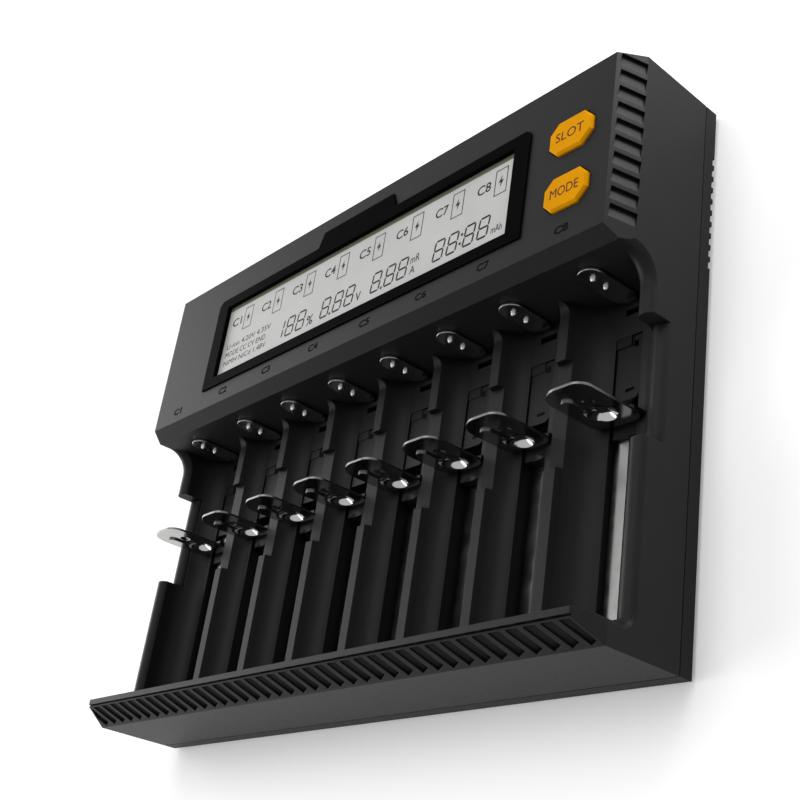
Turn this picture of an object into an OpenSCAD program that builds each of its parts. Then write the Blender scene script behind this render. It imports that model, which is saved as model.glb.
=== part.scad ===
// Eight-bay battery charger with a display head, open bays and sprung sliders.
// X runs across the bays, Y from the low end up to the head, Z up from the back.
// The origin is under the middle of the case, on the surface that it lies on.

/* [Case] */
// Height of the case without its feet
case_h = 34; // [33:0.5:40]
// Distance from the axis of an outer bay to the inside of its side wall
outer_half = 11.5; // [10.6:0.1:14]
// Distance from the end wall to the slots in the bay floors
slot_margin = 6.5; // [6.3:0.1:12]
// Wall thickness of the mouldings
wall = 2.2; // [1.8:0.1:2.4]
// Height of the joint line between back cover and upper shell
part_z = 4.1; // [3.9:0.1:4.3]
// Thickness of the back cover's floor
cover_floor = 2; // [1.6:0.1:2.1]
// Length of the display head along Y
head_l = 51.2; // [50.5:0.1:58]
// Forward lean of the head's far end face
head_lean = 1.5; // [0.5:0.1:2]

/* [Bays] */
// Distance between neighbouring inner bays
bay_pitch = 23.7; // [23.4:0.1:24]
// Distance from the last inner bay to the outer bay
outer_pitch = 26.75; // [26.4:0.05:27]
// Floor height of the inner bays
floor_in = 10.3; // [9.8:0.1:10.8]
// Floor height of the outer bays
floor_out = 8.2; // [8:0.1:8.6]
// Height of the ridges between the bays
ridge_z = 15.7; // [15.2:0.1:17]
// Height of the ridges in the low grip stretch
ridge_low_z = 13.9; // [13.4:0.1:14.5]
// Width of a ridge along its top
ridge_w = 3.1; // [2.4:0.1:3.6]
// Sideways run of a ridge flank for each millimetre of height
flank_run = 0.42; // [0.3:0.02:0.5]
// Height of the side walls' round tops beside the bays
side_z = 19.5; // [18.5:0.1:20.5]
// Height of the side walls' round tops in the low grip stretch
side_low_z = 14.2; // [13.6:0.1:15]
// Thickness of the side walls
side_t = 5; // [4.6:0.1:5.4]
// Radius across the side walls' round tops
cap_r = 2.85; // [2.8:0.05:3.5]
// Length of the low grip stretch
grip_l = 30.5; // [26:0.1:34]
// Distance from the contact wall to the low grip stretch
grip_gap = 14.2; // [12:0.1:16]
// Thickness of the end wall at its lip
lip_t = 6.4; // [6:0.1:8]

/* [Slots and rails] */
// Width of the slot in each bay floor
slot_w = 8.2; // [7.8:0.1:8.4]
// Height of the rail's face above the back
rail_z = 6.3; // [6.1:0.1:6.4]
// Thickness of the rail strip
rail_t = 0.6; // [0.4:0.1:0.8]
// Clearance around the sliding pieces
slide_gap = 0.3; // [0.25:0.05:0.35]

/* [Sliders] */
// Free distance between slider and contact at rest
rest_gap = 30; // [27:0.5:40]
// Travel of a slider toward the low end
slider_travel = 43; // [38:0.5:44]
// Width of the slider's plate
plate_w = 14.4; // [13:0.1:14.8]
// Height of the plate's top edge above the back
plate_top = 30.2; // [28:0.1:31]
// Thickness of the plate
plate_t = 0.6; // [0.5:0.1:0.9]
// Radius of the dish pressed into the plate
dish_r = 4.2; // [3.6:0.1:4.4]
// Depth of the dish
dish_depth = 1.4; // [1:0.1:1.6]
// Outer diameter of the return spring
spring_d = 3; // [2.6:0.1:3.1]

/* [Contacts] */
// Width of a contact plate with round ends
tab_w = 6.9; // [6.2:0.1:7.6]
// Height of the contact plate's round top above the back
tab_top = 26; // [25:0.1:27]
// Thickness of the contact plate in front of its wall
tab_t = 0.9; // [0.7:0.1:1.4]
// Radius of a contact pin
pin_r = 0.78; // [0.6:0.02:0.9]
// Reach of a contact pin in front of its plate
pin_l = 1.1; // [0.9:0.1:1.6]

/* [Display] */
// Distance from the case's sides to the display bezel
display_side = 30.5; // [30:0.1:36]
// Distance from the head's near edge to the display bezel
display_near = 6.8; // [6.4:0.1:8]
// Distance from the display bezel to the head's far edge
display_far = 11.6; // [11.2:0.1:13]
// Width of the frame left around the window at its sides
bezel_side = 5.5; // [5:0.1:6.5]
// Width of the frame at the window's near and far edges
bezel_edge = 3.4; // [3:0.1:4]
// Height of the bezel's face above the head
bezel_proud = 0.5; // [0.3:0.1:0.8]
// Thickness of the bezel
bezel_t = 1.4; // [1.2:0.1:1.6]
// Thickness of the display glass
glass_t = 2.1; // [1.8:0.1:2.4]

/* [Buttons] */
// Width of a button
button_w = 14.2; // [13:0.1:14.6]
// Length of a button along Y
button_l = 10; // [9:0.1:10.6]
// Length of a button's cut corners
button_cut = 3; // [2:0.1:3.6]
// Distance between the two buttons along Y
button_pitch = 16.7; // [14:0.1:18]
// Height of a button above the head
button_proud = 1; // [0.8:0.1:1.4]
// Travel of a button
button_travel = 0.6; // [0.3:0.1:0.7]

/* [Fixings] */
// Height of the rubber feet below the back
foot_h = 1.2; // [0.8:0.1:2]
// Radius of a rubber foot
foot_r = 5; // [4:0.1:6]
// Radius of a case screw's shank
screw_r = 1.3; // [1.1:0.1:1.4]
// Radius of a case screw's head
screw_head_r = 2.6; // [2.3:0.1:2.8]

/* [Hidden] */
$fn = 64;

bay_n = 8;
slot_half = slot_w / 2;
past = 1;
seat_gap = 0.1;

// Places, floors and ridges of the bays
function is_outer(i) = i == 1 || i == bay_n;
function bay_side(i) = i <= bay_n / 2 ? -1 : 1;
function bay_step(i) = abs(i - (bay_n + 1) / 2);
function bay_x(i) = bay_side(i) * (bay_step(i) * bay_pitch + (is_outer(i) ? outer_pitch - bay_pitch : 0));
function bay_floor(i) = is_outer(i) ? floor_out : floor_in;
function ridge_x(j) = (j - bay_n / 2) * bay_pitch;
function bed_r(w, h, k) = (w - slot_half - k * h) / (sqrt(1 + k * k) - k);

outer_axis = bay_x(bay_n);
inner_top_half = (bay_pitch - ridge_w) / 2;
outer_top_half = outer_axis - ridge_x(bay_n - 1) - ridge_w / 2;
case_w = 2 * (outer_axis + outer_half + side_t);
half_w = case_w / 2;

// Places along Y, from the end wall past the slider at rest to the contact wall and the head
carriage_l = 2.7;
end_play = 1.2;
cover_l = 17;
slot_y0 = lip_t + slot_margin;
carriage_y0 = slot_y0 + end_play + slider_travel;
plate_y = carriage_y0 + carriage_l;
carriage_y1 = plate_y + plate_t + 1.2;
lug_y = plate_y + 0.2;
rail_y1 = plate_y + 6.7;
cover_y0 = rail_y1 + seat_gap;
cover_y1 = cover_y0 + cover_l;
pin_y = plate_y + plate_t + dish_depth + rest_gap;
contact_y = pin_y + pin_l + tab_t;
grip_y1 = contact_y - grip_gap;
grip_y0 = grip_y1 - grip_l;
head_y = contact_y + 3;
case_l = head_y + head_l;
head_end_low = case_l - head_lean;

// Side faces: the upper edge is a long chamfer that carries louvres
strip_h = 7.7;
strip_z = case_h - strip_h;
strip_run = 3.2;
strip_tilt = atan(strip_run / strip_h);

// End wall: its outer upper edge is the vent strip
vent_run = 4.4;
vent_len = sqrt(vent_run * vent_run + strip_h * strip_h);
vent_tilt = atan(vent_run / strip_h);

// Side walls: the bends of their tops at both ends
bend_head = 6.9;
bend_lip = 2.5;

// Heights inside the case
brow_z = case_h - 4;
under_z = 7.2;
ledge_z = rail_z - rail_t;
ledge_t = 1.2;
ceiling_z = case_h - wall;
board_t = 1.6;
board_z = rail_z;
board_top = board_z + board_t;
post_z = 5;
display_board_z = case_h - 10;
display_board_top = display_board_z + board_t;
bezel_top = case_h + bezel_proud;
bezel_z = bezel_top - bezel_t;
glass_z = bezel_z - seat_gap - glass_t;

// Size and middle of the display, and the buttons' places
bezel_w = case_w - 2 * display_side;
bezel_l = head_l - display_near - display_far;
display_y = head_y + display_near + bezel_l / 2;
button_x = half_w - 15.9;
buttons_y = display_y - 0.55;
slot_button_y = buttons_y + button_pitch / 2;
mode_button_y = buttons_y - button_pitch / 2;

module seated() {
    translate([0, -case_l / 2, foot_h]) children();
}

module along_x(x0, x1) {
    translate([x0, 0, 0]) rotate([90, 0, 90]) linear_extrude(x1 - x0) children();
}

module along_y(y0, y1) {
    translate([0, y1, 0]) rotate([90, 0, 0]) linear_extrude(y1 - y0) children();
}

module block(x0, x1, y0, y1, z0, z1) {
    translate([x0, y0, z0]) cube([x1 - x0, y1 - y0, z1 - z0]);
}

// Fills the corner at the origin with a concave round, and reaches back behind it
module inner_corner(r, back = 0) {
    difference() {
        translate([-back, -back]) square(r + back);
        translate([r, r]) circle(r);
    }
}

// Upper shell: outlines
module front_outline(inset) {
    top = half_w - strip_run - inset * 0.7;
    polygon([
        [-half_w + inset, -past],
        [half_w - inset, -past],
        [half_w - inset, strip_z - inset * 0.3],
        [top, case_h - inset],
        [-top, case_h - inset],
        [-half_w + inset, strip_z - inset * 0.3]
    ]);
}

// Outline along Y between the two heights given. Where over is more than 0, tops and upright
// faces stand that far proud, to be cut back to their round shape.
module side_outline(high, low, y0, y1, over, head_r, lip_r) {
    polygon([
        [0, part_z],
        [head_end_low + head_lean * part_z / strip_z, part_z],
        [case_l, strip_z],
        [case_l - 1.7, case_h],
        [head_y, case_h],
        [contact_y - over, brow_z - over * (case_h - brow_z) / (head_y - contact_y)],
        [contact_y - over, high + over],
        [y1, high + over],
        [y1, low + over],
        [y0, low + over],
        [y0, high + over],
        [lip_t + over, high + over],
        [lip_t + over, case_h],
        [vent_run, case_h],
        [0, strip_z]
    ]);
    translate([contact_y - over, high + over]) mirror([1, 0]) inner_corner(head_r - over, past / 2);
    if (lip_r > 0) translate([lip_t + over, high + over]) inner_corner(lip_r - over, past / 2);
}

// Side walls: what is cut off to round their tops, around the middle of the wall
module cap_cut(crest, foot_w) {
    edge = side_t / 2 + 0.1;
    difference() {
        translate([-edge, crest - cap_r]) square([edge + side_t, case_h]);
        translate([0, crest - cap_r]) circle(cap_r);
    }
    if (foot_w > 0) translate([-edge - foot_w, crest - 1.9]) square([foot_w, case_h]);
}

// The same round where the wall's top bends up into an upright face at Y = 0
module bend_cut(r, up) {
    half = side_t / 2;
    difference() {
        intersection() {
            translate([0, -r, r]) rotate([0, 90, 0]) rotate_extrude() difference() {
                translate([0, -half - 0.05]) square([r + cap_r, side_t + past]);
                translate([r + cap_r, 0]) circle(cap_r);
            }
            block(-side_t, side_t, -r, 2 * cap_r, -2 * cap_r, r);
        }
        block(-side_t, 0, 0, 3 * cap_r, -3 * cap_r, case_h);
    }
    translate([0, 0, r]) linear_extrude(up - r) difference() {
        translate([-half - 0.05, -past]) square([side_t + past, past + cap_r]);
        translate([-side_t, 0]) square([side_t, side_t]);
        translate([0, cap_r]) circle(cap_r);
    }
}

module side_caps() {
    for (s = [0, 1]) mirror([s, 0, 0]) translate([half_w - side_t / 2, 0, 0]) {
        along_y(lip_t + bend_lip, contact_y - bend_head) cap_cut(side_z, 0);
        along_y(grip_y0, grip_y1) cap_cut(side_low_z, 0.7);
        translate([0, contact_y, side_z]) bend_cut(bend_head, brow_z - side_z + past);
        translate([0, lip_t, side_z]) mirror([0, 1, 0]) bend_cut(bend_lip, case_h - side_z + past);
    }
}

// Upper shell: one half of a bay's bed, from its axis outward
module half_bed(top_half, top_z, floor_z, run) {
    r = bed_r(top_half, top_z - floor_z, run);
    q = sqrt(1 + run * run);
    high = case_h + past;
    translate([slot_half, floor_z + r]) circle(r);
    polygon([
        [0, floor_z],
        [slot_half, floor_z],
        [slot_half + r / q, floor_z + r - r * run / q],
        [top_half + run * (high - top_z), high],
        [0, high]
    ]);
}

module bed_section(i) {
    floor_z = bay_floor(i);
    if (is_outer(i)) {
        half_bed(outer_half, side_z, floor_z, 0);
        mirror([1, 0]) half_bed(outer_top_half, ridge_z, floor_z, flank_run);
    } else {
        half_bed(inner_top_half, ridge_z, floor_z, flank_run);
        mirror([1, 0]) half_bed(inner_top_half, ridge_z, floor_z, flank_run);
    }
}

module bed(i, y0, y1) {
    translate([bay_x(i), 0, 0]) along_y(y0, y1) mirror([bay_side(i) < 0 ? 1 : 0, 0]) bed_section(i);
}

// Upper shell: hollows
module head_hollow() {
    intersection() {
        along_x(-half_w, half_w) polygon([
            [contact_y + wall, -past],
            [head_end_low - wall, -past],
            [case_l - wall - 0.6, strip_z],
            [case_l - wall - 1.7, ceiling_z],
            [head_y + wall, ceiling_z],
            [contact_y + wall, brow_z - 0.9]
        ]);
        along_y(0, case_l + past) intersection() {
            front_outline(wall);
            translate([-half_w, -past]) square([case_w, ceiling_z + past]);
        }
    }
}

module bay_hollow() {
    block(-half_w + wall, half_w - wall, wall, contact_y + wall + past, 0, under_z);
    lip_in = lip_t - wall * 0.8;
    along_x(-half_w + side_t, half_w - side_t) polygon([
        [wall, 0],
        [lip_in, 0],
        [lip_in, case_h - wall - 0.8],
        [wall, strip_z - 1.2]
    ]);
}

// Hollow under each ridge, so that the moulding stays one thickness
module ridge_cores() {
    foot_half = 6.4;
    top_half = 0.8;
    core_top = ridge_low_z - 1.5;
    for (j = [1:bay_n - 1])
        translate([ridge_x(j), 0, 0]) along_y(low_screw_y + 4, contact_y - 2) polygon([
            [-foot_half, 0],
            [foot_half, 0],
            [foot_half, under_z],
            [top_half, core_top],
            [-top_half, core_top],
            [-foot_half, under_z]
        ]);
    web_half = 0.75;
    for (s = [-1, 1]) translate([s * (half_w - side_t / 2), 0, 0])
        block(-web_half, web_half, lip_t + 6, contact_y - 2, 0, side_low_z - 2);
}

// Slots in the bay floors, a slit before each contact, and the contact's way through the wall
module floor_slots() {
    for (i = [1:bay_n]) translate([bay_x(i), 0, 0]) {
        top = bay_floor(i) + past;
        block(-slot_half, slot_half, slot_y0, cover_y1 + seat_gap, under_z - past, top);
        block(-1.6, slot_half, contact_y - 4.3, contact_y - 2.5, under_z - past, top);
        block(-stem_half - seat_gap, stem_half + seat_gap, contact_y - past, contact_y + wall + past,
              stem_z - seat_gap, stem_z + stem_t + seat_gap);
    }
}

// Channel under each slot: a ledge for the rail on one side, a way for leg and spring on the other
module channels() {
    rib = 1.2;
    for (i = [1:bay_n]) translate([bay_x(i), 0, 0]) {
        block(-slot_half - rib, -slot_half, slot_y0 - rib, contact_y, ledge_z - ledge_t, under_z);
        block(slot_half, slot_half + rib, slot_y0 - rib, contact_y, ledge_z - ledge_t, under_z);
        block(-slot_half, slot_half, slot_y0 - rib, slot_y0, ledge_z - ledge_t, under_z);
        block(-slot_half, 0.5, slot_y0 - rib / 2, contact_y, ledge_z - ledge_t, ledge_z);
        block(spring_x - rib, slot_half + rib / 2, spring_post_y, spring_post_y + rib,
              cover_floor + 0.3, under_z + 0.4);
    }
}

// Louvre pockets on both side chamfers of the head
module side_louvres() {
    pitch = 4.87;
    width = 3.6;
    length = 7.1;
    slant = 7;
    depth = 0.9;
    proud = 0.3;
    margin = 1.4;
    count = floor((head_l - margin) / pitch);
    for (s = [-1, 1], k = [0:count - 1])
        translate([s * half_w, head_y + margin + k * pitch, strip_z])
            rotate([0, -s * strip_tilt, 0])
                translate([0, 0, 0.3]) rotate([-slant, 0, 0]) linear_extrude(length) polygon([
                    [proud * s, -proud * width / depth],
                    [-depth * s, width],
                    [proud * s, width]
                ]);
}

// Slanted vent pockets along the end wall's chamfer, deeper toward their lower right side
module end_vents() {
    pitch = 5.08;
    width = 3.1;
    slant = 24.4;
    dip = 3;
    shallow = 0.3;
    deep = 1.1;
    margin = 0.9;
    length = (vent_len - margin - 0.6) / cos(slant);
    count = floor(case_w / pitch);
    intersection() {
        for (k = [0:count - 1])
            translate([-half_w + 0.25 + k * pitch, vent_run, case_h])
                rotate([-vent_tilt, 0, 0])
                    translate([0, 0, -margin]) rotate([dip, -slant, 0])
                        mirror([0, 0, 1]) linear_extrude(length)
                            polygon([[0, -past], [width, -past], [width, deep], [0, shallow]]);
        along_y(-past, lip_t) front_outline(0.6);
    }
}

module bezel_outline(grow) {
    half = bezel_w / 2 + grow;
    near = display_y - bezel_l / 2 - grow;
    far = display_y + bezel_l / 2 + grow;
    tab_half = 18.2 + grow;
    tab_far = far + 4.9;
    cut = 1.6;
    polygon([
        [-half, near],
        [half, near],
        [half, far - cut],
        [half - cut, far],
        [tab_half, far],
        [tab_half - 2, tab_far],
        [-tab_half + 2, tab_far],
        [-tab_half, far],
        [-half + cut, far],
        [-half, far - cut]
    ]);
}

module glass_outline(grow) {
    half = bezel_w / 2 - bezel_side + 2 + grow;
    side = bezel_l / 2 - bezel_edge + 1.7 + grow;
    translate([-half, display_y - side]) square([2 * half, 2 * side]);
}

module button_outline(grow) {
    x = button_w / 2 + grow;
    y = button_l / 2 + grow;
    c = button_cut + grow * 0.6;
    polygon([
        [-x, -y + c], [-x + c, -y], [x - c, -y], [x, -y + c],
        [x, y - c], [x - c, y], [-x + c, y], [-x, y - c]
    ]);
}

// Screw places
head_screw_y = case_l - 7.4;
low_screw_y = lip_t + 3.4;
screw_x = ridge_x(bay_n - 1);
head_screw_x = half_w - 12;
screw_places = [
    [-screw_x, low_screw_y], [0, low_screw_y], [screw_x, low_screw_y],
    [-head_screw_x, head_screw_y], [0, head_screw_y], [head_screw_x, head_screw_y]
];
screw_top = 12;
button_flange = 1;
board_screw_x0 = 16 - half_w;
board_screw_x1 = (bezel_w / 2 + button_x - button_w / 2 - button_flange) / 2;
board_screw_y0 = head_y + 6;
board_screw_y1 = head_screw_y - 7.3;
board_screw_places = [
    [board_screw_x0, board_screw_y0], [board_screw_x0, board_screw_y1],
    [board_screw_x1, board_screw_y0], [board_screw_x1, board_screw_y1]
];
board_screw_r = 1;
board_near = head_y + 3;
board_far = head_screw_y - 4.4;

// Inlet, springs and the contacts' stems
dc_x = ridge_x(2) + 1.4;
dc_z = board_top + 5.5;
dc_nose_r = 4;
spring_x = 2.3;
spring_z = 4.15;
spring_post_y = contact_y - 2.6;
stem_half = 1.5;
stem_z = 12.4;
stem_t = 0.8;

module upper_shell() {
    color([0.13, 0.13, 0.135])
    seated() {
        difference() {
            intersection() {
                union() {
                    for (s = [0, 1]) mirror([s, 0, 0]) along_x(half_w - side_t, half_w)
                        side_outline(side_z, side_low_z, grip_y0, grip_y1, 0.3, bend_head, bend_lip);
                    along_x(-half_w + side_t, half_w - side_t)
                        side_outline(ridge_z, ridge_low_z, grip_y0 + 0.6, grip_y1 - 1.4, 0, 3, 0);
                }
                along_y(-past, case_l + past) front_outline(0);
            }
            side_caps();
            for (i = [1:bay_n]) bed(i, lip_t, contact_y);
            difference() {
                union() {
                    head_hollow();
                    bay_hollow();
                    ridge_cores();
                }
                for (p = screw_places)
                    translate([p[0], p[1], 0]) cylinder(r = 3.4, h = p[1] > head_y ? case_h : under_z + past);
                for (p = board_screw_places)
                    translate([p[0], p[1], display_board_top]) cylinder(r = 2.4, h = case_h);
            }
            block(-half_w, half_w, -past, case_l + past, 0, part_z);
            for (p = screw_places) translate([p[0], p[1], 0]) {
                cylinder(r = 4.3, h = post_z);
                cylinder(r = screw_r + 0.05, h = screw_top + 1);
            }
            for (p = board_screw_places)
                translate([p[0], p[1], 0]) cylinder(r = board_screw_r + 0.05, h = display_board_top + 4.5);
            floor_slots();
            side_louvres();
            end_vents();
            block(-half_w + 2.5, half_w - 2.5, vent_run - 0.1, vent_run + 0.4, case_h - 0.6, case_h + past);
            translate([0, 0, bezel_z]) linear_extrude(case_h) bezel_outline(seat_gap);
            translate([0, 0, glass_z]) linear_extrude(case_h) glass_outline(0.4);
            for (y = [slot_button_y, mode_button_y])
                translate([button_x, y, glass_z]) linear_extrude(case_h) button_outline(0.25);
            translate([dc_x, head_end_low - 2 * wall, dc_z]) rotate([-90, 0, 0])
                cylinder(r = dc_nose_r + 0.2, h = 4 * wall);
        }
        channels();
    }
}

// Back cover
back_vent_w = 2;

module back_vent_cuts() {
    pitch = 3.35;
    first = head_y + 3.5;
    count = floor((head_l - 15) / pitch);
    for (s = [0, 1], k = [0:count - 1]) mirror([s, 0, 0]) {
        y = first + k * pitch;
        block(half_w - 18, half_w + past, y, y + back_vent_w, -past, 0.7);
        block(half_w - 17, half_w - 6, y, y + back_vent_w, -past, cover_floor + past);
    }
}

foot_places = [
    [-half_w + 16, 12], [half_w - 16, 12],
    [-half_w + 28, case_l - 12], [half_w - 28, case_l - 12]
];
foot_inset = 0.8;

peg_x = outer_axis - 24;
peg_y0 = head_y + 5;
peg_y1 = head_screw_y - 7.8;
peg_places = [[-peg_x, peg_y0], [peg_x, peg_y0], [-peg_x, peg_y1], [peg_x, peg_y1]];
peg_r = 2.5;
peg_pin_r = 1.2;
lip_gap = 0.1;
lip_w = 1.1;
lip_h = 1;

module back_cover() {
    color([0.12, 0.12, 0.125])
    seated()
    difference() {
        union() {
            difference() {
                along_x(-half_w, half_w) polygon([
                    [0, 0],
                    [head_end_low, 0],
                    [head_end_low + head_lean * part_z / strip_z, part_z],
                    [0, part_z]
                ]);
                block(-half_w + wall + lip_gap, half_w - wall - lip_gap,
                      wall + lip_gap, head_end_low - wall - lip_gap, cover_floor, case_h);
                for (s = [-1, 1]) translate([s * half_w, 0, 0])
                    block(-0.3, 0.3, -past, case_l + past, part_z - 0.3, part_z + past);
                block(-half_w, half_w, -0.3, 0.3, part_z - 0.3, part_z + past);
            }
            difference() {
                block(-half_w + wall + lip_gap, half_w - wall - lip_gap,
                      wall + lip_gap, head_end_low - wall - lip_gap, cover_floor, part_z + lip_h);
                block(-half_w + wall + lip_gap + lip_w, half_w - wall - lip_gap - lip_w,
                      wall + lip_gap + lip_w, head_end_low - wall - lip_gap - lip_w, 0, case_h);
                for (p = screw_places) translate([p[0], p[1], part_z]) cylinder(r = 3.8, h = case_h);
            }
            for (p = screw_places) translate([p[0], p[1], 0]) cylinder(r = 4.2, h = post_z);
            for (p = peg_places) translate([p[0], p[1], 0]) {
                cylinder(r = peg_r, h = board_z);
                cylinder(r = peg_pin_r, h = board_top + 0.4);
            }
        }
        for (p = screw_places) translate([p[0], p[1], -past]) {
            cylinder(r = screw_head_r + 0.3, h = past + 2.4);
            cylinder(r = screw_r + 0.2, h = case_h);
        }
        for (p = foot_places)
            translate([p[0], p[1], -past]) cylinder(r = foot_r + 0.1, h = past + foot_inset);
        back_vent_cuts();
    }
}

module rubber_feet() {
    color([0.09, 0.09, 0.09])
    seated()
    for (p = foot_places) translate([p[0], p[1], -foot_h]) {
        cylinder(r1 = foot_r - 0.4, r2 = foot_r, h = 0.4);
        translate([0, 0, 0.4]) cylinder(r = foot_r, h = foot_h + foot_inset - 0.4);
    }
}

module case_screws() {
    color([0.55, 0.55, 0.57])
    seated()
    for (p = screw_places) translate([p[0], p[1], 0.6]) difference() {
        union() {
            cylinder(r = screw_head_r, h = 1.8);
            cylinder(r = screw_r, h = screw_top - 0.6);
        }
        for (a = [0, 90]) rotate([0, 0, a]) translate([-1.4, -0.3, -past]) cube([2.8, 0.6, past + 0.8]);
    }
}

// Display stack
module display_bezel() {
    window_half = bezel_w / 2 - bezel_side;
    window_side = bezel_l / 2 - bezel_edge;
    color([0.02, 0.02, 0.022])
    seated()
    translate([0, 0, bezel_z]) linear_extrude(bezel_t) difference() {
        bezel_outline(0);
        translate([-window_half, display_y - window_side]) square([2 * window_half, 2 * window_side]);
    }
}

module display_glass() {
    color([0.75, 0.77, 0.74])
    seated()
    translate([0, 0, glass_z]) linear_extrude(glass_t) glass_outline(0);
}

module display_backlight() {
    color([0.92, 0.92, 0.9])
    seated()
    translate([0, 0, display_board_top]) linear_extrude(glass_z - display_board_top) glass_outline(-1);
}

module display_board() {
    edge = half_w - 8;
    color([0.05, 0.25, 0.12])
    seated()
    difference() {
        block(-edge, edge, board_near, board_far, display_board_z, display_board_top);
        for (p = board_screw_places)
            translate([p[0], p[1], 0]) cylinder(r = board_screw_r + 0.2, h = case_h);
    }
}

module board_screws() {
    color([0.6, 0.6, 0.62])
    seated()
    for (p = board_screw_places) translate([p[0], p[1], display_board_z]) {
        translate([0, 0, -1.2]) cylinder(r = 2, h = 1.2);
        cylinder(r = board_screw_r, h = board_t + 4);
    }
}

// Boards and electronics
module main_board() {
    color([0.05, 0.25, 0.12])
    seated()
    difference() {
        block(-half_w + 5, half_w - 5, contact_y + wall + stem_t, board_far, board_z, board_top);
        for (p = peg_places) translate([p[0], p[1], 0]) cylinder(r = peg_pin_r + 0.1, h = case_h);
    }
}

module board_header() {
    x = -(outer_axis + bay_x(bay_n - 1)) / 2;
    color([0.08, 0.08, 0.08])
    seated() {
        block(x - 2.5, x + 2.5, head_y + 12, board_far - 7.4, board_top, display_board_z);
    }
}

module power_inductors() {
    side = 10;
    high = 5;
    color([0.3, 0.3, 0.3])
    seated()
    for (i = [1:bay_n]) translate([bay_x(i), head_y + 12, board_top]) difference() {
        translate([-side / 2, -side / 2, 0]) cube([side, side, high]);
        translate([0, 0, high - 0.6]) cylinder(r = 3.6, h = past);
    }
}

parts_y = (head_y + 17 + board_far) / 2;

module capacitors() {
    r = 4;
    high = 11;
    groove_z = 2;
    apart = 4.6;
    color([0.12, 0.14, 0.3])
    seated()
    for (j = [4, 5], s = [-1, 1]) translate([ridge_x(j) + s * apart, parts_y, board_top]) {
        cylinder(r = r, h = 0.6);
        cylinder(r = r - 0.3, h = groove_z);
        translate([0, 0, groove_z]) cylinder(r = r, h = high - groove_z);
    }
}

module control_chips() {
    main_side = 12;
    small_w = 6;
    small_l = 5;
    color([0.06, 0.06, 0.06])
    seated() {
        translate([ridge_x(6) - main_side / 2, parts_y - main_side / 2, board_top])
            cube([main_side, main_side, 1.4]);
        for (i = [1:bay_n])
            translate([bay_x(i) - small_w / 2, head_y + 19.6, board_top]) cube([small_w, small_l, 2.3]);
    }
}

module dc_jack() {
    depth = 9.5;
    mouth_r = 3.15;
    tip_r = 1;
    body_half = 4.6;
    nose_y = case_l - 1.2;
    back_y = case_l - 17;
    color([0.07, 0.07, 0.07])
    seated() {
        difference() {
            union() {
                block(dc_x - body_half, dc_x + body_half, back_y, head_end_low - 2 * wall,
                      board_top, dc_z + body_half);
                translate([dc_x, back_y + past, dc_z]) rotate([-90, 0, 0])
                    cylinder(r = dc_nose_r, h = nose_y - back_y);
            }
            translate([dc_x, nose_y + past - depth, dc_z]) rotate([-90, 0, 0])
                cylinder(r = mouth_r, h = depth + past);
        }
        translate([dc_x, nose_y - depth, dc_z]) rotate([-90, 0, 0]) cylinder(r = tip_r, h = depth - 1);
    }
}

// Buttons and their switches
plunger_r = 1.7;
switch_top = display_board_top + 3.4;
plunger_top = switch_top + 1.2;
flange_t = ceiling_z - plunger_top;

module button_cap(y) {
    bevel = 0.6;
    translate([button_x, y, 0]) {
        translate([0, 0, plunger_top]) linear_extrude(flange_t)
            square([button_w + 2 * button_flange, button_l + 2 * button_flange], center = true);
        translate([0, 0, ceiling_z])
            linear_extrude(case_h + button_proud - bevel - ceiling_z) button_outline(0);
        hull() {
            translate([0, 0, case_h + button_proud - bevel]) linear_extrude(0.01) button_outline(0);
            translate([0, 0, case_h + button_proud - 0.01]) linear_extrude(0.01) button_outline(-bevel);
        }
    }
}

module plunger(y) {
    translate([button_x, y, switch_top - 1.2]) cylinder(r = plunger_r, h = plunger_top - switch_top + 1.2);
}

module button_slot() {
    color([0.95, 0.55, 0.02]) seated() button_cap(slot_button_y);
}

module button_mode() {
    color([0.95, 0.55, 0.02]) seated() button_cap(mode_button_y);
}

module plunger_slot() {
    color([0.1, 0.1, 0.1]) seated() plunger(slot_button_y);
}

module plunger_mode() {
    color([0.1, 0.1, 0.1]) seated() plunger(mode_button_y);
}

module tact_switches() {
    color([0.7, 0.7, 0.72])
    seated()
    for (y = [slot_button_y, mode_button_y]) difference() {
        block(button_x - 3.1, button_x + 3.1, y - 3.1, y + 3.1, display_board_top, switch_top);
        translate([button_x, y, switch_top - 1.3 - button_travel]) cylinder(r = plunger_r + 0.15, h = case_h);
    }
}

// Rails, covers and springs in the slots
module contact_rails() {
    color([0.82, 0.83, 0.82])
    seated()
    for (i = [1:bay_n]) translate([bay_x(i), 0, 0]) {
        block(-slot_half + 0.1, 0.4, slot_y0 + 0.2, rail_y1, ledge_z, rail_z);
        block(-2.3, 0.2, rail_y1, contact_y + wall + stem_t + 2, ledge_z, rail_z);
    }
}

module slot_covers() {
    edge = slot_half - 0.25;
    top = rail_z + 1.4;
    color([0.11, 0.11, 0.115])
    seated()
    for (i = [1:bay_n]) translate([bay_x(i), 0, 0]) difference() {
        union() {
            difference() {
                block(-edge, edge, cover_y0, cover_y1, rail_z + 0.2, top);
                translate([edge, cover_y0, 0]) mirror([1, 0]) linear_extrude(case_h)
                    difference() {
                        square(2);
                        translate([2, 2]) circle(2);
                    }
            }
            block(-edge, -2.5, cover_y0, cover_y1, ledge_z, top);
            block(-edge, 0.8, cover_y1 - 2.6, cover_y1, top, top + 0.5);
        }
        block(1.2, 2.6, cover_y1 - 3, cover_y1 - 1.4, 0, case_h);
        block(-0.6, 2, cover_y0 + 2.2, cover_y0 + 3, top - 0.6, case_h);
    }
}

leg_x0 = 0.5 + slide_gap;
shoe_top = ledge_z - ledge_t - slide_gap;

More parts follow.
